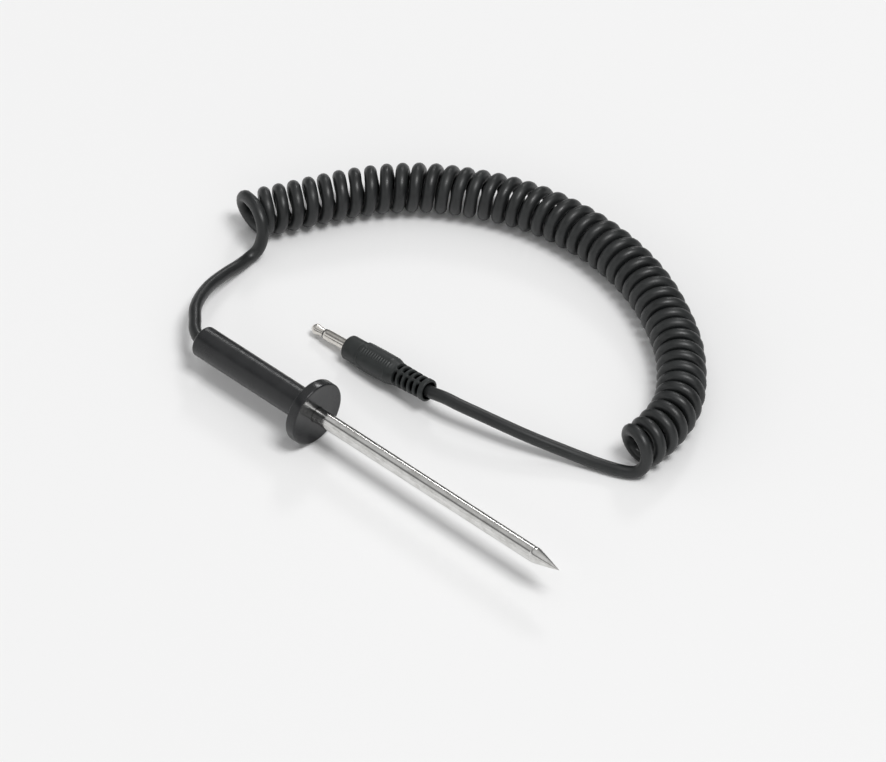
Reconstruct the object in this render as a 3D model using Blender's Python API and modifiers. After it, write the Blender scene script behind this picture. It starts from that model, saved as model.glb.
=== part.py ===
"""Penetration temperature probe (meat thermometer) on a curly cord with a 3.5 mm mono plug.

The probe is turned round one axis and lies along +X with its tip raised a little. The guard's
rear edge stands on the ground plane Z = 0, and the origin is at the bottom centre of the probe.
The cord leaves the handle, runs into a curly cord that lies in an arc, and ends in the plug.
"""

from math import cos, pi, radians, sin

import bpy
from mathutils import Vector

MM = 0.001
FIT = 0.05 * MM  # clearance between pieces that are pressed or welded together
GAP = 0.3 * MM  # clearance between pieces that only meet

# Probe, with stations measured along its axis from the rear face of the handle
PROBE_TILT = radians(0.8)
HANDLE_LENGTH = 45.0 * MM
HANDLE_RADIUS = 5.0 * MM
HANDLE_BORE = 3.3 * MM
HANDLE_REAR_ROUND = 0.8 * MM
SPIGOT_RADIUS = 3.9 * MM
SPIGOT_LENGTH = 1.4 * MM
GUARD_RADIUS = 10.5 * MM
GUARD_THICKNESS = 3.5 * MM
GUARD_ROUND = 0.4 * MM
TUBE_RADIUS = 2.5 * MM
TUBE_BORE = 2.0 * MM
TUBE_REAR = 22.0 * MM
EXPOSED_LENGTH = 101.0 * MM
POINT_LENGTH = 10.5 * MM
POINT_SPIGOT = 4.5 * MM
TIP_RADIUS = 0.15 * MM

# Cord
CORD_RADIUS = 1.95 * MM
CORE_RADIUS = 0.55 * MM
LEAD_RADIUS = 0.3 * MM
COIL_RADIUS = 7.7 * MM
COIL_CLEARANCE = 0.05 * MM  # between the coil and the ground plane
CORD_STRAIGHT = 1.5 * MM  # the cord leaves the handle and the plug in line with them for this far

# Plug, with stations measured along its axis from its tip
PLUG_TILT = radians(5.9)
PLUG_PLACE = (-60.0 * MM, 33.3 * MM)
PLUG_RADIUS = 1.75 * MM
PLUG_BAND = 5.4 * MM  # station where the sleeve contact starts
PLUG_SLEEVE_BORE = 1.2 * MM
PLUG_ROD_RADIUS = 0.5 * MM
COLLAR_START = 15.2 * MM
COLLAR_RADIUS = 3.95 * MM
COLLAR_ROUND = 0.6 * MM
GRIP_START = 21.7 * MM
GRIP_END = 34.0 * MM
GRIP_RADIUS = 4.45 * MM
RELIEF_START = 35.9 * MM
RELIEF_RADII = (3.75 * MM, 3.4 * MM)
END_RING_START = 47.2 * MM
END_RING_RADIUS = 3.6 * MM
PLUG_LENGTH = 48.9 * MM
PLUG_CAVITY = 3.1 * MM
SLOT_COUNT = 5
SLOT_FIRST = 37.3 * MM
SLOT_PITCH = 2.3 * MM
SLOT_WIDTH = 1.1 * MM
SLOT_SPAN = 4.3 * MM
MOULD_ROLL = -radians(20.0)  # turn of the slotted faces round the plug's axis
SLOT_FLOOR = 2.35 * MM  # distance of a slot's floor from the axis

STEPS_OUTSIDE = 40
STEPS_INSIDE = 20

# Routes in millimetres, chosen by hand along the way that the cord lies
COIL_ROUTE = (
    (-105.0, 52.6), (-102.1, 57.0), (-96.2, 67.9), (-90.1, 78.9), (-82.9, 89.1), (-74.4, 97.9),
    (-64.2, 104.9), (-53.0, 110.7), (-40.7, 114.8), (-27.2, 116.7), (-12.7, 116.4), (2.4, 113.3),
    (17.6, 107.0), (32.4, 97.8), (45.0, 84.8), (49.4, 76.7), (51.4, 69.0), (52.0, 62.8), (51.6, 57.3),
)
HANDLE_TAIL_ROUTE = (
    (-79.6, 1.8, 9.9), (-82.6, 4.9, 9.8), (-86.2, 8.6, 9.4), (-89.7, 14.0, 8.0),
    (-92.9, 21.6, 6.1), (-94.6, 30.3, 4.2), (-95.3, 37.5, 2.7), (-95.9, 42.2, 2.1),
)
HANDLE_TAIL_END = ((-98.6, 45.9, 2.05), (-101.6, 47.7, 2.05))  # beside the coil's flat end
PLUG_TAIL_ROUTE = (
    (-5.0, 33.7, 8.4), (0.4, 34.6, 8.2), (7.0, 36.2, 7.7), (13.8, 38.0, 7.0),
    (20.4, 40.0, 6.1), (26.5, 42.3, 5.0), (32.5, 44.8, 3.9), (38.4, 47.2, 2.9),
    (44.4, 49.5, 2.25), (50.3, 51.8, 2.1), (53.9, 53.8, 2.1), (55.5, 55.1, 2.65),
)


def clear_scene():
    for old in list(bpy.data.objects):
        bpy.data.objects.remove(old)


def new_collection(name):
    made = bpy.data.collections.new(name)
    bpy.context.scene.collection.children.link(made)
    return made


def new_material(name, colour, roughness, metallic=0.0):
    made = bpy.data.materials.new(name)
    made.use_nodes = True
    shader = made.node_tree.nodes["Principled BSDF"]
    shader.inputs["Base Color"].default_value = (*colour, 1.0)
    shader.inputs["Roughness"].default_value = roughness
    shader.inputs["Metallic"].default_value = metallic
    return made


def add_object(name, data, material, parent=None):
    made = bpy.data.objects.new(name, data)
    data.materials.append(material)
    PARTS.objects.link(made)
    made.parent = parent
    return made


def add_empty(name, location, rotation):
    made = bpy.data.objects.new(name, None)
    PARTS.objects.link(made)
    made.location = location
    made.rotation_euler = rotation
    return made


# ---- shapes turned round the local Z axis ----


def turned(name, profile, closed, material, parent, steps, offset=(0.0, 0.0)):
    """Turns (station, radius) points, which run down the outer side, into one solid."""
    mesh = bpy.data.meshes.new(name)
    count = len(profile)
    edges = [(i, i + 1) for i in range(count - 1)]
    if closed:
        edges.append((count - 1, 0))
    mesh.from_pydata([(radius, 0.0, station) for station, radius in profile], edges, [])
    made = add_object(name, mesh, material, parent)
    made.location = (offset[0], offset[1], 0.0)
    screw = made.modifiers.new("turn", "SCREW")
    screw.axis = "Z"
    screw.angle = 2 * pi
    screw.steps = steps
    screw.render_steps = steps
    screw.use_merge_vertices = True
    screw.merge_threshold = 0.002 * MM
    screw.use_smooth_shade = True
    return made


def solid(name, outer, material, parent, steps=STEPS_INSIDE, offset=(0.0, 0.0)):
    """A solid of revolution from its outer (station, radius) points, lowest station first."""
    profile = [(outer[-1][0], 0.0), *reversed(outer), (outer[0][0], 0.0)]
    return turned(name, profile, False, material, parent, steps, offset)


def shell(name, outer, inner, material, parent, steps=STEPS_INSIDE, offset=(0.0, 0.0)):
    """A hollow solid of revolution, open at both ends, from its outer and inner points."""
    return turned(name, [*reversed(outer), *inner], True, material, parent, steps, offset)


def sleeve(name, start, end, outer, inner, material, parent, offset=(0.0, 0.0), steps=STEPS_INSIDE):
    """A plain ring or tube between two stations."""
    return shell(
        name, [(start, outer), (end, outer)], [(start, inner), (end, inner)], material, parent, steps, offset
    )


def rear_corner(station, radius, size, count=4):
    """A rounded outer corner at the low end of a shape, from its end face to its side."""
    turns = [i / count * pi / 2 for i in range(count, -1, -1)]
    return [(station + size * (1 - sin(a)), radius - size * (1 - cos(a))) for a in turns]


def front_corner(station, radius, size, count=4):
    """A rounded outer corner at the high end of a shape, from its side to its end face."""
    turns = [i / count * pi / 2 for i in range(count + 1)]
    return [(station - size * (1 - sin(a)), radius - size * (1 - cos(a))) for a in turns]


# ---- round wires and cords along a route ----


def smooth_route(points, samples):
    """Points read at even spacing from a Catmull-Rom curve through the route's own points."""
    route = [Vector(p) for p in points]
    route = [2 * route[0] - route[1], *route, 2 * route[-1] - route[-2]]
    fine = []
    for a, b, c, d in zip(route, route[1:], route[2:], route[3:]):
        for i in range(16):
            t = i / 16
            fine.append(
                0.5 * (2 * b + (c - a) * t + (2 * a - 5 * b + 4 * c - d) * t**2 + (3 * b - a - 3 * c + d) * t**3)
            )
    fine.append(route[-2])
    lengths = [0.0]
    for a, b in zip(fine, fine[1:]):
        lengths.append(lengths[-1] + (b - a).length)
    even = []
    index = 0
    for i in range(samples):
        target = lengths[-1] * i / (samples - 1)
        while index < len(fine) - 2 and lengths[index + 1] < target:
            index += 1
        part = (target - lengths[index]) / (lengths[index + 1] - lengths[index])
        even.append(fine[index].lerp(fine[index + 1], min(part, 1.0)))
    return even


def round_wire(name, points, radius, material, parent=None, resolution=2):
    curve = bpy.data.curves.new(name, "CURVE")
    curve.dimensions = "3D"
    curve.bevel_depth = radius
    curve.bevel_resolution = resolution
    curve.use_fill_caps = True
    spline = curve.splines.new("POLY")
    spline.points.add(len(points) - 1)
    for point, place in zip(spline.points, points):
        point.co = (*place, 1.0)
    return add_object(name, curve, material, parent)


def flat_tag(name, centre, size, material, parent):
    """A small straight metal tag as a box between two stations."""
    bpy.ops.mesh.primitive_cube_add(size=1.0)
    made = bpy.context.object
    made.name = name
    made.data.name = name
    for vertex in made.data.vertices:
        vertex.co = (vertex.co.x * size[0], vertex.co.y * size[1], vertex.co.z * size[2])
    made.data.materials.append(material)
    for holder in list(made.users_collection):
        holder.objects.unlink(made)
    PARTS.objects.link(made)
    made.parent = parent
    made.location = centre
    return made


# ---- the probe ----


def build_handle(axis):
    guard_start = HANDLE_LENGTH
    body_end = guard_start - GAP
    spigot_end = guard_start + SPIGOT_LENGTH
    tube_hole = TUBE_RADIUS + 2 * FIT
    wall_start = 40.0 * MM
    shell(
        "handle_body",
        [
            *rear_corner(0.0, HANDLE_RADIUS, HANDLE_REAR_ROUND),
            (body_end, HANDLE_RADIUS),
            (body_end, SPIGOT_RADIUS),
            (spigot_end, SPIGOT_RADIUS),
        ],
        [(0.0, HANDLE_BORE), (wall_start, HANDLE_BORE), (wall_start, tube_hole), (spigot_end, tube_hole)],
        BLACK_PLASTIC,
        axis,
        STEPS_OUTSIDE,
    )
    front = guard_start + GUARD_THICKNESS
    recess = spigot_end + GAP
    shell(
        "hand_guard",
        [
            *rear_corner(guard_start, GUARD_RADIUS, GUARD_ROUND, 3),
            *front_corner(front, GUARD_RADIUS, GUARD_ROUND, 3),
        ],
        [
            (guard_start, SPIGOT_RADIUS + GAP),
            (recess, SPIGOT_RADIUS + GAP),
            (recess, tube_hole),
            (front, tube_hole),
        ],
        BLACK_PLASTIC,
        axis,
        STEPS_OUTSIDE + 8,
    )
    sleeve("rear_grommet", GAP, 5.5 * MM, HANDLE_BORE - 2 * FIT, CORD_RADIUS + 2 * FIT, RUBBER, axis)
    sleeve("cord_crimp", 6.2 * MM, 8.6 * MM, 2.6 * MM, CORD_RADIUS + FIT, TINNED_METAL, axis)


def build_shaft(axis):
    front = HANDLE_LENGTH + GUARD_THICKNESS
    tip = front + EXPOSED_LENGTH
    shoulder = tip - POINT_LENGTH
    sleeve("probe_tube", TUBE_REAR, shoulder - FIT, TUBE_RADIUS, TUBE_BORE, STEEL, axis, steps=STEPS_OUTSIDE - 8)
    solid(
        "probe_point",
        [
            (shoulder - POINT_SPIGOT, TUBE_BORE - FIT),
            (shoulder, TUBE_BORE - FIT),
            (shoulder, TUBE_RADIUS),
            (tip - TIP_RADIUS, TIP_RADIUS),
            (tip, TIP_RADIUS / 3),
        ],
        STEEL,
        axis,
        STEPS_OUTSIDE - 8,
    )
    bush_groove = 0.4 * MM
    bush_outer = HANDLE_BORE - 2 * FIT
    shell(
        "anchor_bush",
        [
            (26.0 * MM, bush_outer),
            (30.0 * MM, bush_outer),
            (30.0 * MM, bush_outer - bush_groove),
            (33.0 * MM, bush_outer - bush_groove),
            (33.0 * MM, bush_outer),
            (37.0 * MM, bush_outer),
        ],
        [(26.0 * MM, TUBE_RADIUS + FIT), (37.0 * MM, TUBE_RADIUS + FIT)],
        BRASS,
        axis,
    )
    seal_radius = (HANDLE_BORE - TUBE_RADIUS) / 2 - FIT
    bpy.ops.mesh.primitive_torus_add(
        major_segments=24,
        minor_segments=8,
        major_radius=(HANDLE_BORE + TUBE_RADIUS) / 2,
        minor_radius=seal_radius,
    )
    seal = bpy.context.object
    seal.name = "tube_seal"
    seal.data.materials.append(RUBBER)
    for holder in list(seal.users_collection):
        holder.objects.unlink(seal)
    PARTS.objects.link(seal)
    seal.parent = axis
    seal.location = (0.0, 0.0, 38.6 * MM)


def build_sensor(axis):
    """The thermistor bead behind the point, its leads, and their joints to the cord's cores."""
    solid(
        "sensor_bead",
        [
            (129.5 * MM, 0.45 * MM),
            (130.0 * MM, 0.8 * MM),
            (132.0 * MM, 0.8 * MM),
            (132.5 * MM, 0.45 * MM),
        ],
        EPOXY,
        axis,
        12,
    )
    sleeve("sensor_potting", 126.0 * MM, 133.5 * MM, TUBE_BORE - FIT, 1.0 * MM, EPOXY, axis)
    sleeve("lead_sleeve", 24.0 * MM, 124.0 * MM, 1.6 * MM, 1.15 * MM, SLEEVING, axis, steps=16)
    for letter, side in (("a", 1), ("b", -1)):
        lead = [(0.45, 129.2), (0.45, 60.0), (0.45, 26.0), (0.6, 22.5), (1.0, 18.5), (1.1, 15.0)]
        round_wire(
            f"sensor_lead_{letter}",
            [(0.0, side * across * MM, along * MM) for across, along in lead],
            LEAD_RADIUS,
            LEAD_COLOURS[letter],
            axis,
        )
        core = [(0.8, 9.4), (0.9, 11.0), (1.1, 12.8), (1.1, 14.2)]
        round_wire(
            f"cord_core_{letter}",
            [(0.0, side * across * MM, along * MM) for across, along in core],
            CORE_RADIUS,
            CORE_COLOURS[letter],
            axis,
        )
        sleeve(
            f"splice_{letter}", 12.6 * MM, 16.6 * MM, 0.95 * MM, 0.7 * MM, SLEEVING, axis, (0.0, side * 1.1 * MM), 12
        )
    solid("cord_jacket_end", [(0.0, CORD_RADIUS), (9.0 * MM, CORD_RADIUS)], CORD_BLACK, axis)


# ---- the plug ----


def build_contacts(axis):
    neck = 1.2 * MM
    ring_start = 4.45 * MM
    ring_end = PLUG_BAND - FIT
    rod_end = 21.0 * MM
    solid(
        "plug_tip",
        [
            (0.0, 0.85 * MM),
            (0.35 * MM, 1.2 * MM),
            (1.3 * MM, 1.7 * MM),
            (2.0 * MM, 1.62 * MM),
            (3.5 * MM, neck),
            (ring_start - FIT, neck),
            (ring_start - FIT, PLUG_ROD_RADIUS),
            (rod_end, PLUG_ROD_RADIUS),
        ],
        NICKEL,
        axis,
        24,
    )
    shell(
        "plug_insulator",
        [
            (ring_start, 1.5 * MM),
            (ring_end, 1.5 * MM),
            (ring_end, PLUG_SLEEVE_BORE - FIT),
            (19.5 * MM, PLUG_SLEEVE_BORE - FIT),
        ],
        [(ring_start, PLUG_ROD_RADIUS + FIT), (19.5 * MM, PLUG_ROD_RADIUS + FIT)],
        INSULATION,
        axis,
        24,
    )
    shell(
        "plug_sleeve",
        [
            (PLUG_BAND, 1.6 * MM),
            (PLUG_BAND + 0.15 * MM, PLUG_RADIUS),
            (16.2 * MM, PLUG_RADIUS),
            (16.2 * MM, 2.8 * MM),
            (17.6 * MM, 2.8 * MM),
        ],
        [(PLUG_BAND, PLUG_SLEEVE_BORE), (17.6 * MM, PLUG_SLEEVE_BORE)],
        NICKEL,
        axis,
        24,
    )
    flat_tag("plug_sleeve_tag", (0.0, 2.2 * MM, 20.9 * MM), (1.4 * MM, 0.4 * MM, 6.0 * MM), TINNED_METAL, axis)
    flat_tag("plug_tip_tag", (0.0, 0.0, 23.3 * MM), (1.2 * MM, 0.4 * MM, 4.0 * MM), TINNED_METAL, axis)


def build_plug_cord_end(axis):
    jacket_start = 30.5 * MM
    solid("plug_jacket_end", [(jacket_start, CORD_RADIUS), (PLUG_LENGTH, CORD_RADIUS)], CORD_BLACK, axis)
    sleeve("plug_cord_crimp", 31.5 * MM, 33.6 * MM, 2.5 * MM, CORD_RADIUS + FIT, TINNED_METAL, axis)
    sleeve("plug_inner_mould", 26.2 * MM, 30.2 * MM, PLUG_CAVITY - 2 * FIT, 2.2 * MM, INSULATION, axis)
    ends = {"a": (1.3, 24.3), "b": (-0.9, 25.7)}
    for letter, (across, along) in ends.items():
        start = 0.8 if across > 0 else -0.8
        route = [(start, 30.2), (across, 27.6), (across, along)]
        round_wire(
            f"plug_core_{letter}",
            [(0.0, y * MM, z * MM) for y, z in route],
            CORE_RADIUS,
            CORE_COLOURS[letter],
            axis,
        )


def build_overmould(axis):
    """Collar, grip and slotted strain relief, moulded in one over the plug's rear."""
    body = shell(
        "plug_overmould",
        [
            *rear_corner(COLLAR_START, COLLAR_RADIUS, COLLAR_ROUND, 3),
            (GRIP_START, COLLAR_RADIUS),
            (GRIP_START + 0.3 * MM, GRIP_RADIUS),
            (GRIP_END, GRIP_RADIUS),
            (RELIEF_START, RELIEF_RADII[0]),
            (END_RING_START, RELIEF_RADII[1]),
            (END_RING_START, END_RING_RADIUS),
            (PLUG_LENGTH, END_RING_RADIUS),
        ],
        [
            (COLLAR_START, PLUG_RADIUS + 2 * FIT),
            (15.9 * MM, PLUG_RADIUS + 2 * FIT),
            (15.9 * MM, PLUG_CAVITY),
            (33.9 * MM, PLUG_CAVITY),
            (33.9 * MM, CORD_RADIUS + 2 * FIT),
            (PLUG_LENGTH, CORD_RADIUS + 2 * FIT),
        ],
        BLACK_RUBBER,
        axis,
        STEPS_OUTSIDE - 8,
    )
    depth = 3.0 * MM
    for side in range(4):
        angle = MOULD_ROLL + side * pi / 2
        for i in range(SLOT_COUNT):
            reach = SLOT_FLOOR + depth / 2
            bpy.ops.mesh.primitive_cube_add(size=1.0)
            cutter = bpy.context.object
            cutter.name = f"slot_cutter_{side}_{i}"
            for vertex in cutter.data.vertices:
                vertex.co = (vertex.co.x * depth, vertex.co.y * SLOT_SPAN, vertex.co.z * SLOT_WIDTH)
            cutter.parent = axis
            cutter.location = (reach * cos(angle), reach * sin(angle), SLOT_FIRST + i * SLOT_PITCH)
            cutter.rotation_euler = (0.0, 0.0, angle)
            for holder in list(cutter.users_collection):
                holder.objects.unlink(cutter)
            CUTTERS.objects.link(cutter)
            cutter.hide_render = True
            cutter.display_type = "WIRE"
    slots = body.modifiers.new("slots", "BOOLEAN")
    slots.operation = "DIFFERENCE"
    slots.operand_type = "COLLECTION"
    slots.collection = CUTTERS


# ---- the free cord ----


def build_cord():
    """Two plain tubes and, for the curly cord between them, one fat tube of its outer diameter."""
    height = COIL_RADIUS + COIL_CLEARANCE
    coil = [(x * MM, y * MM, height) for x, y in COIL_ROUTE]
    round_wire("cord_coil", smooth_route(coil, 34), COIL_RADIUS, CORD_BLACK, resolution=4)
    for name, start, line, route, samples in (
        ("cord_tail_handle", PROBE_REAR, -PROBE_LINE, HANDLE_TAIL_ROUTE + HANDLE_TAIL_END, 18),
        ("cord_tail_plug", PLUG_TIP + PLUG_LENGTH * PLUG_LINE, PLUG_LINE, PLUG_TAIL_ROUTE, 18),
    ):
        straight_end = start + CORD_STRAIGHT * line
        points = [straight_end, *(Vector(p) * MM for p in route)]
        round_wire(name, [start + GAP * line, *smooth_route(points, samples)], CORD_RADIUS, CORD_BLACK)


clear_scene()
PARTS = new_collection("meat_thermometer")
CUTTERS = new_collection("cutters")

BLACK_PLASTIC = new_material("black_plastic", (0.028, 0.028, 0.030), 0.38)
BLACK_RUBBER = new_material("black_moulding", (0.022, 0.024, 0.024), 0.5)
RUBBER = new_material("seal_rubber", (0.02, 0.02, 0.02), 0.6)
CORD_BLACK = new_material("cord_jacket", (0.022, 0.024, 0.025), 0.42)
STEEL = new_material("polished_steel", (0.66, 0.66, 0.65), 0.14, 1.0)
NICKEL = new_material("nickel_plate", (0.72, 0.71, 0.68), 0.16, 1.0)
TINNED_METAL = new_material("tinned_metal", (0.6, 0.6, 0.6), 0.3, 1.0)
BRASS = new_material("brass", (0.72, 0.52, 0.22), 0.3, 1.0)
EPOXY = new_material("epoxy", (0.12, 0.1, 0.07), 0.4)
SLEEVING = new_material("sleeving", (0.05, 0.05, 0.05), 0.5)
INSULATION = new_material("insulation", (0.03, 0.03, 0.03), 0.45)
LEAD_COLOURS = {
    "a": new_material("lead_red", (0.5, 0.04, 0.03), 0.4),
    "b": new_material("lead_white", (0.75, 0.75, 0.72), 0.4),
}
CORE_COLOURS = {
    "a": new_material("core_red", (0.45, 0.03, 0.03), 0.45),
    "b": new_material("core_white", (0.7, 0.7, 0.68), 0.45),
}

PROBE_LENGTH = HANDLE_LENGTH + GUARD_THICKNESS + EXPOSED_LENGTH
PROBE_LINE = Vector((cos(PROBE_TILT), 0.0, sin(PROBE_TILT)))
PROBE_REAR = Vector((
    -(PROBE_LENGTH * cos(PROBE_TILT) - HANDLE_RADIUS * sin(PROBE_TILT)) / 2,
    0.0,
    GUARD_RADIUS * cos(PROBE_TILT) - HANDLE_LENGTH * sin(PROBE_TILT),
))

PLUG_LINE = Vector((cos(PLUG_TILT), 0.0, sin(PLUG_TILT)))
PLUG_REST = COLLAR_START + COLLAR_ROUND
PLUG_TIP = Vector((*PLUG_PLACE, COLLAR_RADIUS * cos(PLUG_TILT) + FIT - PLUG_REST * sin(PLUG_TILT)))

probe_axis = add_empty("probe_axis", PROBE_REAR, (0.0, pi / 2 - PROBE_TILT, 0.0))
plug_axis = add_empty("plug_axis", PLUG_TIP, (0.0, pi / 2 - PLUG_TILT, 0.0))

build_handle(probe_axis)
build_shaft(probe_axis)
build_sensor(probe_axis)
build_contacts(plug_axis)
build_plug_cord_end(plug_axis)
build_overmould(plug_axis)
build_cord()
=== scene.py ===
"""The meat thermometer's looks: a penetration probe on a curly cord, lying on a pale studio floor."""

from math import cos, pi, radians, sin, sqrt

import bpy
import numpy as np
from mathutils import Euler, Matrix, Vector


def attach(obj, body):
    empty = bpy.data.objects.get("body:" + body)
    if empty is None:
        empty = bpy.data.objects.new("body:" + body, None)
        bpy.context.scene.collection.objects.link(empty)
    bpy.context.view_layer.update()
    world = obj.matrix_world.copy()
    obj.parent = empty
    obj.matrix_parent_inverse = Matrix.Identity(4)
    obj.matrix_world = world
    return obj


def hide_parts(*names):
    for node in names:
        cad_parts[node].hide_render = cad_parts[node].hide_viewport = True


MM = 0.001
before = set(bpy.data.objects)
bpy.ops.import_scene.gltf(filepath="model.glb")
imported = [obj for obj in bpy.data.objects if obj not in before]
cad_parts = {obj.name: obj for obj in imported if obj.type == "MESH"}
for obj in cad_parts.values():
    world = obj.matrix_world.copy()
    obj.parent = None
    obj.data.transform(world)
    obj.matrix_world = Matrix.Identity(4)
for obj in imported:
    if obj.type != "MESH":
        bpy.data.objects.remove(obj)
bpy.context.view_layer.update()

# ---- sizes ----

# Probe, with stations measured along its axis from the rear face of the handle
PROBE_TILT = radians(0.8)
PROBE_LENGTH = 149.5 * MM
HANDLE_LENGTH = 45.0 * MM
HANDLE_RADIUS = 5.0 * MM
HANDLE_BORE = 3.3 * MM
GUARD_RADIUS = 10.5 * MM
GUARD_THICKNESS = 3.5 * MM
SPIGOT_RADIUS = 3.9 * MM
SPIGOT_LENGTH = 1.4 * MM
TUBE_RADIUS = 2.5 * MM
TUBE_BORE = 2.0 * MM
TUBE_REAR = 22.0 * MM
POINT_LENGTH = 10.5 * MM
POINT_SPIGOT = 4.5 * MM
FIT = 0.05 * MM
GAP = 0.3 * MM
PROBE_LINE = Vector((cos(PROBE_TILT), 0.0, sin(PROBE_TILT)))
PROBE_REAR = Vector((
    -(PROBE_LENGTH * cos(PROBE_TILT) - HANDLE_RADIUS * sin(PROBE_TILT)) / 2,
    0.0,
    GUARD_RADIUS * cos(PROBE_TILT) - HANDLE_LENGTH * sin(PROBE_TILT),
))

# Plug, with stations measured along its axis from its tip
PLUG_TILT = radians(5.9)
PLUG_LENGTH = 48.9 * MM
PLUG_RADIUS = 1.75 * MM
PLUG_BAND = 5.4 * MM
COLLAR_START = 15.2 * MM
COLLAR_RADIUS = 3.95 * MM
GRIP_START = 21.7 * MM
END_RING_RADIUS = 3.6 * MM
PLUG_CAVITY = 3.1 * MM
SLOT_COUNT = 5
SLOT_FIRST = 37.3 * MM
SLOT_PITCH = 2.3 * MM
SLOT_FLOOR = 2.35 * MM
SLOT_HALF_WIDTH = 0.66 * MM
SLOT_HALF_SPAN = 2.45 * MM
MOULD_ROLL = -radians(20.0)
PANEL_MIDDLE = 27.7 * MM
PANEL_HALF_LENGTH = 5.7 * MM
PANEL_HALF_ANGLE = radians(31.0)
PANEL_DEPTH = 0.10 * MM
RIB_PITCH = 0.98 * MM
RIB_HEIGHT = 0.20 * MM
PLUG_LINE = Vector((cos(PLUG_TILT), 0.0, sin(PLUG_TILT)))
PLUG_REST = COLLAR_START + 0.6 * MM
PLUG_TIP = Vector((
    -60.0 * MM,
    33.3 * MM,
    COLLAR_RADIUS * cos(PLUG_TILT) + FIT - PLUG_REST * sin(PLUG_TILT),
))

# Cord, with routes in millimetres
CORD_RADIUS = 1.95 * MM
COIL_HEIGHT = 7.75 * MM
WIND_RADIUS = 5.75 * MM
COIL_ROUTE = (
    (-105.0, 52.6), (-102.1, 57.0), (-96.2, 67.9), (-90.1, 78.9), (-82.9, 89.1),
    (-74.4, 97.9), (-64.2, 104.9), (-53.0, 110.7), (-40.7, 114.8), (-27.2, 116.7), (-12.7, 116.4),
    (2.4, 113.3), (17.6, 107.0), (32.4, 97.8), (45.0, 84.8), (49.4, 76.7), (51.4, 69.0),
    (52.0, 62.8), (51.6, 57.3),
)
HANDLE_TAIL_ROUTE = (
    (-79.6, 1.8, 9.9), (-82.6, 4.9, 9.8), (-86.2, 8.6, 9.4), (-89.7, 14.0, 8.0),
    (-92.9, 21.6, 6.1), (-94.6, 30.3, 4.2), (-95.3, 37.5, 2.7), (-95.9, 42.2, 2.1),
)
HANDLE_RISE_ROUTE = (
    (-95.3, 45.3, 3.6), (-95.1, 46.9, 6.4), (-95.6, 48.1, 9.5), (-97.4, 49.2, 12.3), (-101.4, 51.0, 14.0),
)
PLUG_TAIL_ROUTE = (
    (-5.0, 33.7, 8.4), (0.4, 34.6, 8.2), (7.0, 36.2, 7.7), (13.8, 38.0, 7.0),
    (20.4, 40.0, 6.1), (26.5, 42.3, 5.0), (32.5, 44.8, 3.9), (38.4, 47.2, 2.9),
    (44.4, 49.5, 2.25), (50.3, 51.8, 2.1), (53.9, 53.8, 2.1), (55.5, 55.1, 2.65),
)
PLUG_RISE_ROUTE = ((56.65, 56.2, 4.3),)

# Winding: departures from even spacing are shares of the coil's length
TURNS = 45.22
WIND_START = radians(112.0)
TURN_STEPS = 24
CLOSER_AT_END = 0.0010
CLOSER_MIDWAY = 0.0020
CLOSER_BY_THIRDS = 0.0016
EASED_AT_END = 0.06
FIRST_RING_SPLAY = radians(24.0)  # the first ring's turn towards its tail, past square to the route
WANDER = ((0.0004, 9.3), (0.0004, 23.0))


# ---- camera, floor and light ----

VIEW_AZIMUTH = radians(43.707)
VIEW_ELEVATION = radians(43.305)
VIEW_TARGET = Vector((-16.69 * MM, 45.10 * MM, 0.0))
VIEW_DISTANCE = 8.0
VIEW_WIDTH = 0.26943
SENSOR_WIDTH = 36.0
LIGHT_DISTANCE = 8.0
FLOOR_PALE = (0.86, 0.86, 0.86, 1.0)


def build_camera():
    line = Vector((
        sin(VIEW_AZIMUTH) * cos(VIEW_ELEVATION),
        -cos(VIEW_AZIMUTH) * cos(VIEW_ELEVATION),
        sin(VIEW_ELEVATION),
    ))
    camera = bpy.data.cameras.new("camera")
    camera.sensor_width = SENSOR_WIDTH
    camera.lens = SENSOR_WIDTH * VIEW_DISTANCE / VIEW_WIDTH
    camera.clip_start = 0.1
    camera.clip_end = 100.0
    holder = bpy.data.objects.new("camera", camera)
    bpy.context.scene.collection.objects.link(holder)
    holder.location = VIEW_TARGET + line * VIEW_DISTANCE
    holder.rotation_mode = "QUATERNION"
    holder.rotation_quaternion = (-line).to_track_quat("-Z", "Y")
    bpy.context.scene.camera = holder


def softbox(name, direction, size, power):
    light = bpy.data.lights.new(name, "AREA")
    light.shape = "SQUARE"
    light.size = size
    light.energy = power
    holder = bpy.data.objects.new(name, light)
    bpy.context.scene.collection.objects.link(holder)
    line = Vector(direction).normalized()
    holder.location = VIEW_TARGET + line * LIGHT_DISTANCE
    holder.rotation_mode = "QUATERNION"
    holder.rotation_quaternion = line.to_track_quat("Z", "Y")
    holder.visible_camera = False


# How light the room is at each height, as the sine of the elevation
ROOM_BEHIND = ((0.0, 0.10), (0.5, 0.25), (0.8, 0.55), (0.97, 0.70))
ROOM_IN_FRONT = ((0.0, 0.80), (0.52, 0.78), (0.63, 0.20), (0.73, 0.16), (0.82, 0.60), (0.97, 0.70))


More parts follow.
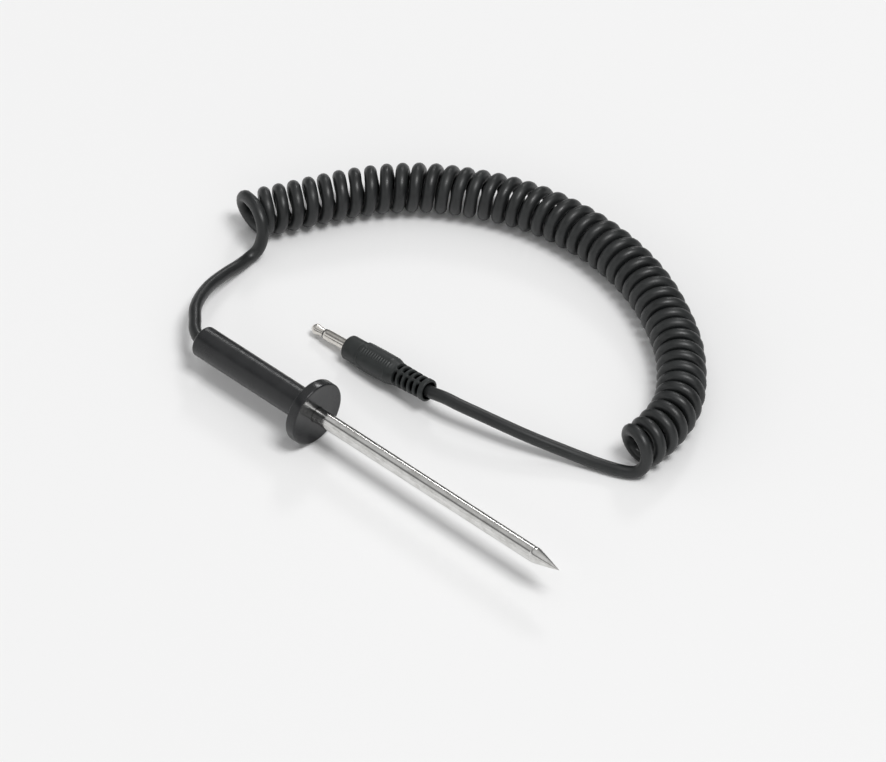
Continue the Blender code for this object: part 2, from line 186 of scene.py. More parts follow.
def build_world():
    """A dim room, lighter in front and overhead; the camera itself sees it as pale as the floor."""
    world = bpy.data.worlds.new("studio")
    bpy.context.scene.world = world
    world.use_nodes = True
    tree = world.node_tree
    room = tree.nodes["Background"]
    out = tree.nodes["World Output"]
    place = tree.nodes.new("ShaderNodeTexCoord")
    split = tree.nodes.new("ShaderNodeSeparateXYZ")
    tree.links.new(place.outputs["Generated"], split.inputs[0])
    shades = []
    for stops in (ROOM_BEHIND, ROOM_IN_FRONT):
        shade = tree.nodes.new("ShaderNodeValToRGB")
        ramp = shade.color_ramp
        while len(ramp.elements) < len(stops):
            ramp.elements.new(1.0)
        for element, (height, light) in zip(ramp.elements, stops):
            element.position = height
            element.color = (light, light, light, 1.0)
        tree.links.new(split.outputs["Z"], shade.inputs["Fac"])
        shades.append(shade.outputs["Color"])
    side = tree.nodes.new("ShaderNodeMapRange")
    side.inputs["From Min"].default_value = 0.15
    side.inputs["From Max"].default_value = -0.15
    tree.links.new(split.outputs["Y"], side.inputs["Value"])
    both = tree.nodes.new("ShaderNodeMixRGB")
    tree.links.new(side.outputs["Result"], both.inputs["Fac"])
    tree.links.new(shades[0], both.inputs["Color1"])
    tree.links.new(shades[1], both.inputs["Color2"])
    tree.links.new(both.outputs["Color"], room.inputs["Color"])
    pale = tree.nodes.new("ShaderNodeBackground")
    pale.inputs["Color"].default_value = FLOOR_PALE
    path = tree.nodes.new("ShaderNodeLightPath")
    mix = tree.nodes.new("ShaderNodeMixShader")
    tree.links.new(path.outputs["Is Camera Ray"], mix.inputs["Fac"])
    tree.links.new(room.outputs[0], mix.inputs[1])
    tree.links.new(pale.outputs[0], mix.inputs[2])
    tree.links.new(mix.outputs[0], out.inputs["Surface"])


def build_studio():
    build_world()
    softbox("main_softbox", (0.40, 0.05, 1.0), 2.9, 350.0)
    softbox("rear_softbox", (-0.77, 1.27, 1.0), 1.3, 70.0)
    bpy.ops.mesh.primitive_plane_add(size=60.0)
    floor = bpy.context.object
    floor.name = "floor"
    paint = bpy.data.materials.new("floor")
    paint.use_nodes = True
    shader = paint.node_tree.nodes["Principled BSDF"]
    shader.inputs["Base Color"].default_value = FLOOR_PALE
    shader.inputs["Roughness"].default_value = 0.75
    shader.inputs["Specular IOR Level"].default_value = 0.25
    floor.data.materials.append(paint)
    bpy.context.scene.view_settings.view_transform = "Standard"


# ---- materials ----


class Paint:
    """A Principled material whose colour, roughness and bump come from noise in object space."""

    def __init__(self, name, colour, roughness, metallic=0.0, specular=0.5):
        self.material = bpy.data.materials.new(name)
        self.material.use_nodes = True
        self.tree = self.material.node_tree
        self.shader = self.tree.nodes["Principled BSDF"]
        self.shader.inputs["Base Color"].default_value = (*colour, 1.0)
        self.shader.inputs["Roughness"].default_value = roughness
        self.shader.inputs["Metallic"].default_value = metallic
        self.shader.inputs["Specular IOR Level"].default_value = specular
        self.place = self.tree.nodes.new("ShaderNodeTexCoord").outputs["Object"]
        self.height = None

    def link(self, start, end):
        self.tree.links.new(start, end)
        return self

    def noise(self, size, stretch=(1.0, 1.0, 1.0), detail=3.0, roughness=0.5, shift=0.0):
        """Noise whose features are about this size, longer along an axis with a larger stretch."""
        fit = self.tree.nodes.new("ShaderNodeMapping")
        fit.inputs["Location"].default_value = (shift, shift, shift)
        fit.inputs["Scale"].default_value = [1.0 / (size * long) for long in stretch]
        self.link(self.place, fit.inputs["Vector"])
        node = self.tree.nodes.new("ShaderNodeTexNoise")
        node.inputs["Scale"].default_value = 1.0
        node.inputs["Detail"].default_value = detail
        node.inputs["Roughness"].default_value = roughness
        self.link(fit.outputs["Vector"], node.inputs["Vector"])
        return node.outputs["Fac"]

    def rings(self, pitch, phase=0.0):
        """A wave along the local Z axis."""
        node = self.tree.nodes.new("ShaderNodeTexWave")
        node.wave_type = "BANDS"
        node.bands_direction = "Z"
        node.inputs["Scale"].default_value = 2 * pi / (20.0 * pitch)
        node.inputs["Distortion"].default_value = 0.0
        node.inputs["Phase Offset"].default_value = phase
        self.link(self.place, node.inputs["Vector"])
        return node.outputs["Fac"]

    def ranged(self, value, low, high, out_low, out_high):
        node = self.tree.nodes.new("ShaderNodeMapRange")
        node.inputs["From Min"].default_value = low
        node.inputs["From Max"].default_value = high
        node.inputs["To Min"].default_value = out_low
        node.inputs["To Max"].default_value = out_high
        self.link(value, node.inputs["Value"])
        return node.outputs["Result"]

    def joined(self, operation, first, second):
        node = self.tree.nodes.new("ShaderNodeMath")
        node.operation = operation
        for socket, value in zip(node.inputs, (first, second)):
            if isinstance(value, float):
                socket.default_value = value
            else:
                self.link(value, socket)
        return node.outputs["Value"]

    def colour(self, value, first, second, low=0.35, high=0.65):
        """The colour runs from the first to the second as the value goes from low to high."""
        node = self.tree.nodes.new("ShaderNodeValToRGB")
        node.color_ramp.elements[0].position = low
        node.color_ramp.elements[0].color = (*first, 1.0)
        node.color_ramp.elements[1].position = high
        node.color_ramp.elements[1].color = (*second, 1.0)
        self.link(value, node.inputs["Fac"])
        self.link(node.outputs["Color"], self.shader.inputs["Base Color"])
        return self

    def rough(self, value):
        return self.link(value, self.shader.inputs["Roughness"])

    def bump(self, value, depth, strength=1.0):
        node = self.tree.nodes.new("ShaderNodeBump")
        node.inputs["Distance"].default_value = depth
        node.inputs["Strength"].default_value = strength
        self.link(value, node.inputs["Height"])
        if self.height is not None:
            self.link(self.height, node.inputs["Normal"])
        self.height = node.outputs["Normal"]
        return self.link(self.height, self.shader.inputs["Normal"])

    def painted_shade_inside(self, low, high):
        """Painted shade: black and without sheen nearer the local Z axis than the first radius, unchanged past
        the second, so recessed floors look shaded.
        """
        split = self.tree.nodes.new("ShaderNodeSeparateXYZ")
        self.link(self.place, split.inputs[0])
        square = self.joined(
            "ADD",
            self.joined("MULTIPLY", split.outputs["X"], split.outputs["X"]),
            self.joined("MULTIPLY", split.outputs["Y"], split.outputs["Y"]),
        )
        share = self.ranged(self.joined("SQRT", square, 0.0), low, high, 0.0, 1.0)
        colour = self.shader.inputs["Base Color"].links[0].from_socket
        shaded = self.tree.nodes.new("ShaderNodeMixRGB")
        shaded.inputs["Color1"].default_value = (0.0005, 0.0005, 0.0005, 1.0)
        self.link(share, shaded.inputs["Fac"])
        self.link(colour, shaded.inputs["Color2"])
        self.link(shaded.outputs["Color"], self.shader.inputs["Base Color"])
        return self.link(self.joined("MULTIPLY", share, 0.5), self.shader.inputs["Specular IOR Level"])

    def edges(self):
        """High where the surface turns outwards sharply, as on a worn edge."""
        node = self.tree.nodes.new("ShaderNodeNewGeometry")
        return self.ranged(node.outputs["Pointiness"], 0.52, 0.60, 0.0, 1.0)


def black_plastic():
    paint = Paint("black_plastic", (0.009, 0.0095, 0.0105), 0.34)
    grime = paint.noise(6.0 * MM, detail=4.0)
    speck = paint.noise(0.35 * MM, detail=2.0, shift=3.0)
    paint.colour(grime, (0.0075, 0.008, 0.009), (0.012, 0.0125, 0.0135))
    mixed = paint.joined(
        "ADD", paint.ranged(grime, 0.3, 0.7, 0.26, 0.37), paint.ranged(speck, 0.35, 0.65, -0.03, 0.05)
    )
    worn = paint.joined("MULTIPLY", paint.edges(), -0.08)
    paint.rough(paint.joined("ADD", mixed, worn))
    paint.bump(paint.noise(3.2 * MM, (1.0, 1.0, 1.6), 2.0, shift=5.0), 0.05 * MM, 0.6)
    paint.bump(speck, 0.006 * MM)
    return paint.bump(paint.rings(0.42 * MM), 0.0012 * MM).material


def gloss_plastic():
    paint = Paint("gloss_plastic", (0.010, 0.0105, 0.0115), 0.12)
    haze = paint.noise(4.0 * MM, detail=4.0)
    scuffs = paint.noise(0.5 * MM, (0.12, 3.0, 1.0), 3.0, shift=2.0)
    paint.colour(haze, (0.009, 0.0095, 0.0105), (0.014, 0.0145, 0.0155))
    paint.rough(paint.joined(
        "ADD", paint.ranged(haze, 0.3, 0.7, 0.17, 0.27), paint.ranged(scuffs, 0.55, 0.75, 0.0, 0.10)
    ))
    paint.bump(paint.noise(5.0 * MM, detail=2.0, shift=7.0), 0.04 * MM, 0.35)
    return paint.bump(paint.noise(0.3 * MM, detail=2.0, shift=4.0), 0.002 * MM).material


def cord_jacket():
    paint = Paint("cord_jacket", (0.010, 0.011, 0.0112), 0.40)
    tone = paint.noise(7.0 * MM, detail=4.0)
    grain = paint.noise(0.45 * MM, detail=3.0, shift=1.0)
    paint.colour(tone, (0.0085, 0.0095, 0.0097), (0.0145, 0.016, 0.0162))
    paint.rough(paint.joined(
        "ADD", paint.ranged(tone, 0.3, 0.7, 0.34, 0.44), paint.ranged(grain, 0.35, 0.65, -0.04, 0.06)
    ))
    paint.bump(paint.noise(2.4 * MM, detail=2.0, shift=6.0), 0.03 * MM, 0.5)
    return paint.bump(grain, 0.008 * MM).material


def black_moulding():
    paint = Paint("black_moulding", (0.012, 0.0145, 0.014), 0.48)
    tone = paint.noise(3.0 * MM, detail=4.0)
    grain = paint.noise(0.22 * MM, detail=3.0, shift=1.0)
    paint.colour(tone, (0.0105, 0.013, 0.0125), (0.017, 0.020, 0.0195))
    mixed = paint.joined(
        "ADD", paint.ranged(tone, 0.3, 0.7, 0.42, 0.54), paint.ranged(grain, 0.35, 0.65, -0.05, 0.05)
    )
    worn = paint.joined("MULTIPLY", paint.edges(), -0.10)
    paint.rough(paint.joined("ADD", mixed, worn))
    # painted shade: the slot floors inside these radii are coloured black and lose their sheen, as if in shade
    paint.painted_shade_inside(2.75 * MM, 3.15 * MM)
    paint.bump(paint.noise(1.4 * MM, detail=2.0, shift=5.0), 0.02 * MM, 0.5)
    return paint.bump(grain, 0.009 * MM).material


def polished_steel():
    """Fine grinding along the shaft, faint turned rings, small stains and a few scratches."""
    paint = Paint("polished_steel", (0.70, 0.695, 0.68), 0.12, 1.0)
    along = paint.noise(0.16 * MM, (1.0, 1.0, 60.0), 3.0)
    stain = paint.noise(2.2 * MM, (1.0, 1.0, 2.2), 5.0, 0.65, shift=8.0)
    speck = paint.noise(0.32 * MM, (1.0, 1.0, 1.7), 2.0, shift=3.0)
    paint.colour(stain, (0.58, 0.575, 0.555), (0.74, 0.735, 0.72), 0.36, 0.56)
    spots = paint.joined(
        "MULTIPLY", paint.ranged(speck, 0.60, 0.72, 0.0, 0.22), paint.ranged(stain, 0.45, 0.6, 0.2, 1.0)
    )
    mixed = paint.joined(
        "ADD", paint.ranged(along, 0.3, 0.7, 0.07, 0.17), paint.ranged(stain, 0.3, 0.7, 0.06, -0.02)
    )
    paint.rough(paint.joined("ADD", mixed, spots))
    paint.bump(along, 0.004 * MM, 0.6)
    paint.bump(paint.noise(3.0 * MM, (1.0, 1.0, 2.5), 2.0, shift=5.0), 0.02 * MM, 0.4)
    return paint.bump(speck, 0.003 * MM).material


def nickel_plate():
    paint = Paint("nickel_plate", (0.70, 0.675, 0.63), 0.12, 1.0)
    tone = paint.noise(1.6 * MM, detail=4.0, roughness=0.6)
    speck = paint.noise(0.2 * MM, detail=2.0, shift=3.0)
    paint.colour(tone, (0.66, 0.63, 0.585), (0.80, 0.78, 0.74))
    paint.rough(paint.joined(
        "ADD", paint.ranged(tone, 0.3, 0.7, 0.16, 0.07), paint.ranged(speck, 0.58, 0.72, 0.0, 0.18)
    ))
    paint.bump(paint.rings(0.16 * MM), 0.0015 * MM)
    return paint.bump(paint.noise(1.2 * MM, detail=2.0, shift=6.0), 0.012 * MM, 0.5).material


def plain(name, colour, roughness, metallic=0.0, grain=0.5 * MM, depth=0.01 * MM):
    """A simple finish with a little unevenness, for the pieces inside."""
    paint = Paint(name, colour, roughness, metallic)
    tone = paint.noise(4.0 * grain, detail=4.0)
    speck = paint.noise(grain, detail=2.0, shift=2.0)
    paint.colour(tone, [0.8 * c for c in colour], [min(1.0, 1.15 * c) for c in colour])
    paint.rough(paint.ranged(speck, 0.3, 0.7, roughness - 0.07, roughness + 0.07))
    return paint.bump(speck, depth).material


# ---- meshes turned round the local Z axis ----


def ring_mesh(name, rings, segments, closed, spin=0.0):
    """A surface through rings, each a station and a radius or one radius for each segment."""
    angles = spin + np.arange(segments) * 2 * pi / segments
    verts = []
    for station, radius in rings:
        spread = np.broadcast_to(radius, segments)
        level = np.full(segments, station)
        verts.append(np.column_stack([spread * np.cos(angles), spread * np.sin(angles), level]))
    verts = np.concatenate(verts)
    count = len(rings)
    faces = []
    for i in range(count if closed else count - 1):
        low, high = i * segments, (i + 1) % count * segments
        for k in range(segments):
            after = (k + 1) % segments
            faces.append((low + k, low + after, high + after, high + k))
    verts = [tuple(v) for v in verts]
    if not closed:
        for index, order in ((0, -1), (count - 1, 1)):
            verts.append((0.0, 0.0, rings[index][0]))
            for k in range(segments):
                edge = (index * segments + k, index * segments + (k + 1) % segments)
                faces.append((*edge[::order], len(verts) - 1))
    mesh = bpy.data.meshes.new(name)
    mesh.from_pydata(verts, [], faces)
    mesh.validate()
    mesh.shade_smooth()
    mesh.set_sharp_from_angle(angle=radians(38.0))
    return mesh


def add_piece(name, mesh, material, origin, tilt, slot, *replaced):
    made = bpy.data.objects.new(name, mesh)
    mesh.materials.append(material)
    bpy.context.scene.collection.objects.link(made)
    lean = Euler((0.0, pi / 2 - tilt, 0.0)).to_matrix().to_4x4()
    made.matrix_world = Matrix.Translation(origin) @ lean
    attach(made, "root")
    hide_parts(*replaced)
    return made


def rear_corner(station, radius, size, count=7):
    """Rings round an outer corner at the low end of a shape, from its end face to its side."""
    turns = [i / count * pi / 2 for i in range(count, -1, -1)]
    return [(station + size * (1 - sin(a)), radius - size * (1 - cos(a))) for a in turns]


def front_corner(station, radius, size, count=7):
    """Rings round an outer corner at the high end of a shape, from its side to its end face."""
    turns = [i / count * pi / 2 for i in range(count + 1)]
    return [(station - size * (1 - sin(a)), radius - size * (1 - cos(a))) for a in turns]


def straight(start, end, radius, spacing):
    """Rings of one radius strictly between two stations."""
    count = max(1, int(round((end - start) / spacing)))
    return [(start + (end - start) * i / count, radius) for i in range(1, count)]


def smooth_step(value, low, high):
    share = np.clip((np.asarray(value, float) - low) / (high - low), 0.0, 1.0)
    return share * share * (3 - 2 * share)


# ---- the probe ----


def build_handle(material):
    segments = 96
    angles = np.arange(segments) * 2 * pi / segments
    body_end = HANDLE_LENGTH - GAP
    spigot_end = HANDLE_LENGTH + SPIGOT_LENGTH
    tube_hole = TUBE_RADIUS + 2 * FIT
    outer = [(0.25 * MM, HANDLE_BORE), (0.05 * MM, HANDLE_BORE + 0.25 * MM)]
    outer += rear_corner(0.0, HANDLE_RADIUS, 0.8 * MM)
    for station, radius in straight(0.8 * MM, body_end - 0.2 * MM, HANDLE_RADIUS, 0.4 * MM):
        wave = sin(station / MM * 1.7) * np.cos(2 * angles)
        wave += 0.7 * sin(station / MM * 2.9 + 1.0) * np.sin(3 * angles)
        outer.append((station, radius - 0.012 * MM + 0.006 * MM * wave))
    outer += front_corner(body_end, HANDLE_RADIUS, 0.2 * MM, 4)
    outer += [(body_end, SPIGOT_RADIUS), (spigot_end, SPIGOT_RADIUS), (spigot_end, tube_hole)]
    inner = [(40.0 * MM, tube_hole), (40.0 * MM, HANDLE_BORE)]
    mesh = ring_mesh("handle", [*outer, *inner], segments, True)
    add_piece("handle", mesh, material, PROBE_REAR, PROBE_TILT, "black_plastic", "handle_body")


def build_guard(material):
    segments = 160
    start = HANDLE_LENGTH
    front = start + GUARD_THICKNESS
    recess = start + SPIGOT_LENGTH + GAP
    tube_hole = TUBE_RADIUS + 2 * FIT
    dish = 0.05 * MM
    rings = [
        (start, SPIGOT_RADIUS + GAP),
        (start, HANDLE_RADIUS + 0.6 * MM),
        *rear_corner(start, GUARD_RADIUS, 0.45 * MM),
        (start + GUARD_THICKNESS / 2, GUARD_RADIUS),
        *front_corner(front, GUARD_RADIUS, 0.45 * MM),
        (front, GUARD_RADIUS - 0.9 * MM),
        (front - dish, GUARD_RADIUS - 1.3 * MM),
        (front - dish, 5.0 * MM),
        (front - dish, tube_hole + 0.12 * MM),
        (front - dish - 0.12 * MM, tube_hole),
        (recess, tube_hole),
        (recess, SPIGOT_RADIUS + GAP),
    ]
    mesh = ring_mesh("guard", rings, segments, True)
    add_piece("guard", mesh, material, PROBE_REAR, PROBE_TILT, "black_plastic", "hand_guard")


def build_shaft(material):
    segments = 96
    tip = PROBE_LENGTH
    shoulder = tip - POINT_LENGTH
    seam = 0.02 * MM
    tube = [
        (TUBE_REAR, TUBE_RADIUS - 0.1 * MM),
        (TUBE_REAR + 0.1 * MM, TUBE_RADIUS),
        *straight(TUBE_REAR + 0.1 * MM, shoulder - seam, TUBE_RADIUS, 1.5 * MM),
        (shoulder - seam, TUBE_RADIUS),
        (shoulder - 0.01 * MM, TUBE_RADIUS - 0.01 * MM),
        (shoulder - 0.01 * MM, TUBE_BORE),
        (TUBE_REAR, TUBE_BORE),
    ]
    mesh = ring_mesh("shaft", tube, segments, True)
    add_piece("shaft", mesh, material, PROBE_REAR, PROBE_TILT, "polished_steel", "probe_tube")
    end = 0.15 * MM
    cone = [
        (shoulder - POINT_SPIGOT, TUBE_BORE - FIT),
        (shoulder, TUBE_BORE - FIT),
        (shoulder, TUBE_RADIUS - 0.01 * MM),
        (shoulder + 0.02 * MM, TUBE_RADIUS),
        (shoulder + 0.8 * MM, TUBE_RADIUS - 0.02 * MM),
    ]
    start = shoulder + 1.1 * MM
    for i in range(25):
        share = i / 24
        radius = TUBE_RADIUS - 0.06 * MM + (end - TUBE_RADIUS) * share + 0.06 * MM * sin(pi * share)
        cone.append((start + (tip - 0.12 * MM - start) * share, radius))
    cone.append((tip, end / 2))
    mesh = ring_mesh("point", cone, segments, False)
    add_piece("point", mesh, material, PROBE_REAR, PROBE_TILT, "polished_steel", "probe_point")


def build_grommet(material):
    outer, hole = HANDLE_BORE - 2 * FIT, CORD_RADIUS + 2 * FIT
    rings = [
        (GAP + 0.3 * MM, hole),
        (GAP, hole + 0.3 * MM),
        (GAP, outer - 0.3 * MM),
        (GAP + 0.3 * MM, outer),
        *straight(GAP + 0.3 * MM, 5.5 * MM, outer, 1.0 * MM),
        (5.5 * MM, outer),
        (5.5 * MM, hole),
    ]
    mesh = ring_mesh("grommet", rings, 64, True)
    add_piece("grommet", mesh, material, PROBE_REAR, PROBE_TILT, "seal_rubber", "rear_grommet")


# ---- the plug ----


def build_contacts(metal, insulation):
    segments = 72
    rod, ring_start, neck = 0.5 * MM, 4.85 * MM, 1.2 * MM
    stations = [0.0, 0.06, 0.25, 0.6, 1.0, 1.4, 1.8, 2.4, 3.2, 4.0]
    radii = [0.80, 0.92, 1.10, 1.36, 1.58, 1.70, 1.66, 1.56, 1.43, 1.30]
    head = [(station * MM, radius * MM) for station, radius in zip(stations, radii)]
    head += [
        (ring_start - FIT, neck), (ring_start - FIT, rod), (21.0 * MM, rod),
    ]
    mesh = ring_mesh("jack_tip", head, segments, False)
    tip = add_piece("jack_tip", mesh, metal, PLUG_TIP, PLUG_TILT, "nickel_plate", "plug_tip")
    ring_end = PLUG_BAND - FIT
    bore = 1.2 * MM
    band = [
        (ring_start, 1.42 * MM),
        (ring_start + 0.1 * MM, 1.52 * MM),
        (ring_end - 0.1 * MM, 1.52 * MM),
        (ring_end, 1.42 * MM),
        (ring_end, bore - FIT),
        (19.5 * MM, bore - FIT),
        (19.5 * MM, rod + FIT),
        (ring_start, rod + FIT),
    ]
    mesh = ring_mesh("jack_ring", band, segments, True)
    ring = add_piece("jack_ring", mesh, insulation, PLUG_TIP, PLUG_TILT, "insulation", "plug_insulator")
    rings = [
        (PLUG_BAND, bore),
        (PLUG_BAND, 1.55 * MM),
        (PLUG_BAND + 0.06 * MM, 1.67 * MM),
        (PLUG_BAND + 0.2 * MM, PLUG_RADIUS),
        *straight(PLUG_BAND + 0.2 * MM, 16.2 * MM, PLUG_RADIUS, 0.7 * MM),
        (16.2 * MM, PLUG_RADIUS),
        (16.2 * MM, 2.8 * MM),
        (17.6 * MM, 2.8 * MM),
        (17.6 * MM, bore),
    ]
    mesh = ring_mesh("jack_sleeve", rings, segments, True)
    sleeve = add_piece("jack_sleeve", mesh, metal, PLUG_TIP, PLUG_TILT, "nickel_plate", "plug_sleeve")
    return tip, ring, sleeve


def overmould_radius(station):
    """The moulding's outer radius before its panels, ribs and slots, from stations and radii in millimetres."""
    stations = [15.2, 20.6, 21.0, 21.5, 21.9, 27.8, 33.2, 34.2, 35.9, 46.8, 47.1, 47.3, 48.9]
    radii = [3.95, 3.95, 3.86, 3.86, 4.38, 4.45, 4.38, 4.22, 3.72, 3.42, 3.42, 3.6, 3.6]
    return float(np.interp(station / MM, stations, radii)) * MM


def build_overmould(material):
    """Collar, grip with smooth oval panels between ribbed flanks, slotted relief and end ring."""
    segments = 168
    angles = np.arange(segments) * 2 * pi / segments
    quarter = (angles + pi / 4) % (pi / 2) - pi / 4  # angle from the middle of the nearest face
    flank = np.abs(pi / 4 - np.abs(quarter))  # angle from the nearest diagonal
    rings = []
    for station, radius in rear_corner(COLLAR_START, COLLAR_RADIUS, 0.6 * MM):
        rings.append((station, np.full(segments, radius)))
    spacing = 0.12 * MM
    first = COLLAR_START + 0.6 * MM
    last = PLUG_LENGTH - 0.3 * MM
    count = int(round((last - first) / spacing))
    for i in range(1, count + 1):
        station = first + (last - first) * i / count
        radius = np.full(segments, overmould_radius(station))
        along = (station - PANEL_MIDDLE) / PANEL_HALF_LENGTH
        oval = (quarter / PANEL_HALF_ANGLE) ** 2 + along ** 4
        radius -= PANEL_DEPTH * (1 - smooth_step(oval, 0.82, 1.08))
        ribbed = smooth_step(station, GRIP_START + 0.3 * MM, GRIP_START + 0.8 * MM)
        ribbed *= 1 - smooth_step(station, 34.4 * MM, 35.2 * MM)
        ridge = 0.5 + 0.5 * cos(2 * pi * (station - GRIP_START) / RIB_PITCH)
        radius += RIB_HEIGHT * (ridge - 0.6) * ribbed * (1 - smooth_step(flank, radians(11.0), radians(15.0)))
        for k in range(SLOT_COUNT):
            off = abs(station - SLOT_FIRST - k * SLOT_PITCH) / SLOT_HALF_WIDTH
            if off > 1.3:
                continue
            across = np.abs(radius * np.sin(quarter)) / SLOT_HALF_SPAN
            shape = (off ** 4 + across ** 4) ** 0.25
            floor = np.minimum(SLOT_FLOOR / np.cos(quarter), radius)
            deep = 1 - smooth_step(shape, 0.84, 1.08)
            radius = radius + (floor - radius) * deep
        rings.append((station, radius))
    for station, radius in front_corner(PLUG_LENGTH, END_RING_RADIUS, 0.3 * MM, 5):
        rings.append((station, np.full(segments, radius)))
    cord_hole = CORD_RADIUS + 2 * FIT
    rings += [
        (PLUG_LENGTH, cord_hole + 0.4 * MM),
        (PLUG_LENGTH - 0.4 * MM, cord_hole),
        (33.9 * MM, cord_hole),
        (33.9 * MM, PLUG_CAVITY),
        (15.9 * MM, PLUG_CAVITY),
        (15.9 * MM, PLUG_RADIUS + 2 * FIT),
        (COLLAR_START, PLUG_RADIUS + 2 * FIT),
    ]
    mesh = ring_mesh("plug_body", rings, segments, True, MOULD_ROLL)
    return add_piece("plug_body", mesh, material, PLUG_TIP, PLUG_TILT, "black_moulding", "plug_overmould")


# ---- the cord ----


def spline_through(points, per_span=16):
    """Close points on a centripetal Catmull-Rom curve through the given ones."""
    route = [Vector(p) for p in points]
    route = [2 * route[0] - route[1], *route, 2 * route[-1] - route[-2]]
    fine = []
    for a, b, c, d in zip(route, route[1:], route[2:], route[3:]):
        t1 = sqrt((b - a).length)
        t2 = t1 + sqrt((c - b).length)
        t3 = t2 + sqrt((d - c).length)
        for i in range(per_span):
            t = t1 + (t2 - t1) * i / per_span
            ab = a.lerp(b, t / t1)
            bc = b.lerp(c, (t - t1) / (t2 - t1))
            cd = c.lerp(d, (t - t2) / (t3 - t2))
            abc = ab.lerp(bc, t / t2)
            bcd = bc.lerp(cd, (t - t1) / (t3 - t1))
            fine.append(abc.lerp(bcd, (t - t1) / (t2 - t1)))
    fine.append(route[-2])
    return fine


def evenly(points, spacing):
    """Points read at even spacing along a chain of close points."""
    chain = np.array([tuple(p) for p in points])
    along = np.concatenate([[0.0], np.cumsum(np.linalg.norm(np.diff(chain, axis=0), axis=1))])
    count = max(2, int(round(along[-1] / spacing)) + 1)
    wanted = np.linspace(0.0, along[-1], count)
    return np.column_stack([np.interp(wanted, along, chain[:, k]) for k in range(3)])


def winding():
    """Points along the left-handed winding of the curly cord, round the coil's route."""
    flat = [(x * MM, y * MM, COIL_HEIGHT) for x, y in COIL_ROUTE]
    axis = evenly(spline_through(flat), 0.25 * MM)
    along = np.concatenate([[0.0], np.cumsum(np.linalg.norm(np.diff(axis, axis=0), axis=1))])
    count = int(TURNS * TURN_STEPS) + 1
    places = []
    for i in range(count):
        share = i / (count - 1)
        uneven = -CLOSER_AT_END * sin(pi * share) - CLOSER_MIDWAY * sin(2 * pi * share)
        uneven += CLOSER_BY_THIRDS * sin(3 * pi * share) - EASED_AT_END * share ** 8 * (1 - share)
        uneven += sum(size * sin(rate * share * pi) for size, rate in WANDER) * sin(share * pi)
        s = along[-1] * (share + uneven)
        centre = np.array([np.interp(s, along, axis[:, k]) for k in range(3)])
        ahead = np.array([np.interp(s + 0.4 * MM, along, axis[:, k]) for k in range(3)])
        behind = np.array([np.interp(s - 0.4 * MM, along, axis[:, k]) for k in range(3)])
        line = (ahead - behind) / np.linalg.norm(ahead - behind)
        splay = FIRST_RING_SPLAY * (1 - float(smooth_step(i / TURN_STEPS, 0.15, 1.2)))
        heading = Vector(line[:2])
        heading.rotate(Matrix.Rotation(splay, 2))
        side = np.array([heading.y, -heading.x, 0.0])
        angle = WIND_START + 2 * pi * TURNS * share
        places.append(Vector(centre + WIND_RADIUS * (cos(angle) * side + sin(angle) * np.array([0.0, 0.0, 1.0]))))
    return places


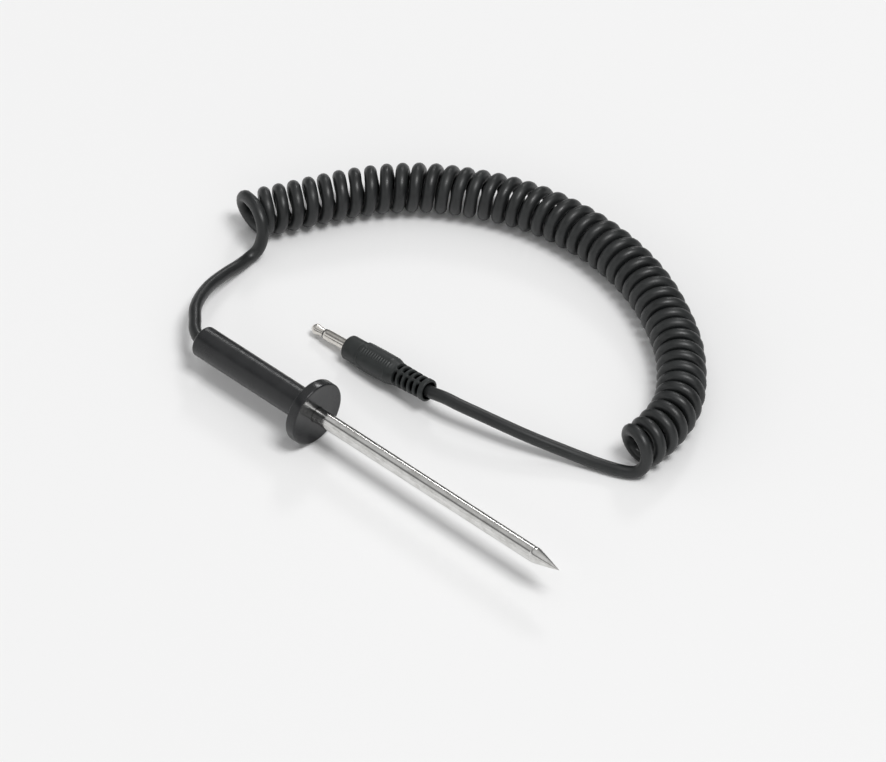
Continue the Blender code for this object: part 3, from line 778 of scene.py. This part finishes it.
def build_cord(material):
    route = [
        PROBE_REAR + 9.0 * MM * PROBE_LINE,
        PROBE_REAR,
        PROBE_REAR - 1.5 * MM * PROBE_LINE,
        *(Vector(p) * MM for p in HANDLE_TAIL_ROUTE),
        *(Vector(p) * MM for p in HANDLE_RISE_ROUTE),
        *winding(),
        *(Vector(p) * MM for p in reversed(PLUG_RISE_ROUTE)),
        *(Vector(p) * MM for p in reversed(PLUG_TAIL_ROUTE)),
        PLUG_TIP + (PLUG_LENGTH + 1.5 * MM) * PLUG_LINE,
        PLUG_TIP + PLUG_LENGTH * PLUG_LINE,
        PLUG_TIP + (PLUG_LENGTH - 17.0 * MM) * PLUG_LINE,
    ]
    path = evenly(spline_through(route, 6), 1.2 * MM)
    curve = bpy.data.curves.new("cord", "CURVE")
    curve.dimensions = "3D"
    curve.bevel_depth = CORD_RADIUS
    curve.bevel_resolution = 6
    curve.use_fill_caps = True
    spline = curve.splines.new("POLY")
    spline.points.add(len(path) - 1)
    for point, place in zip(spline.points, path):
        point.co = (*place, 1.0)
    spline.use_smooth = True
    curve.materials.append(material)
    cord = bpy.data.objects.new("cord", curve)
    bpy.context.scene.collection.objects.link(cord)
    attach(cord, "root")
    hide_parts("cord_tail_handle", "cord_coil", "cord_tail_plug", "cord_jacket_end", "plug_jacket_end")


def finish_inner_pieces():
    """Gives the CAD nodes that stay, all of them inside the handle and the plug, their own finishes."""
    tinned = plain("tinned_metal", (0.58, 0.57, 0.55), 0.32, 1.0, 0.3 * MM)
    brass = plain("brass", (0.70, 0.50, 0.21), 0.28, 1.0, 0.4 * MM)
    epoxy = plain("epoxy", (0.11, 0.09, 0.06), 0.30, grain=0.8 * MM)
    sleeving = plain("sleeving", (0.03, 0.03, 0.032), 0.5, grain=0.3 * MM)
    rubber = plain("seal_rubber", (0.014, 0.014, 0.015), 0.6, grain=0.3 * MM)
    insulation = plain("insulation", (0.022, 0.022, 0.023), 0.45, grain=0.3 * MM)
    reds = plain("core_red", (0.42, 0.03, 0.025), 0.42, grain=0.3 * MM)
    whites = plain("core_white", (0.70, 0.70, 0.67), 0.42, grain=0.3 * MM)
    finishes = {
        "cord_crimp": tinned, "plug_cord_crimp": tinned, "plug_sleeve_tag": tinned, "plug_tip_tag": tinned,
        "anchor_bush": brass, "sensor_bead": epoxy, "sensor_potting": epoxy, "lead_sleeve": sleeving,
        "splice_a": sleeving, "splice_b": sleeving, "tube_seal": rubber, "plug_inner_mould": insulation,
        "sensor_lead_a": reds, "cord_core_a": reds, "plug_core_a": reds,
        "sensor_lead_b": whites, "cord_core_b": whites, "plug_core_b": whites,
    }
    for name, material in finishes.items():
        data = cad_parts[name].data
        data.materials.clear()
        data.materials.append(material)
    return rubber, insulation


build_camera()
build_studio()
rubber, insulation = finish_inner_pieces()
plastic = black_plastic()
steel = polished_steel()
build_handle(plastic)
build_guard(gloss_plastic())
build_shaft(steel)
build_grommet(rubber)
contacts = build_contacts(nickel_plate(), insulation)
moulding = build_overmould(black_moulding())
build_cord(cord_jacket())
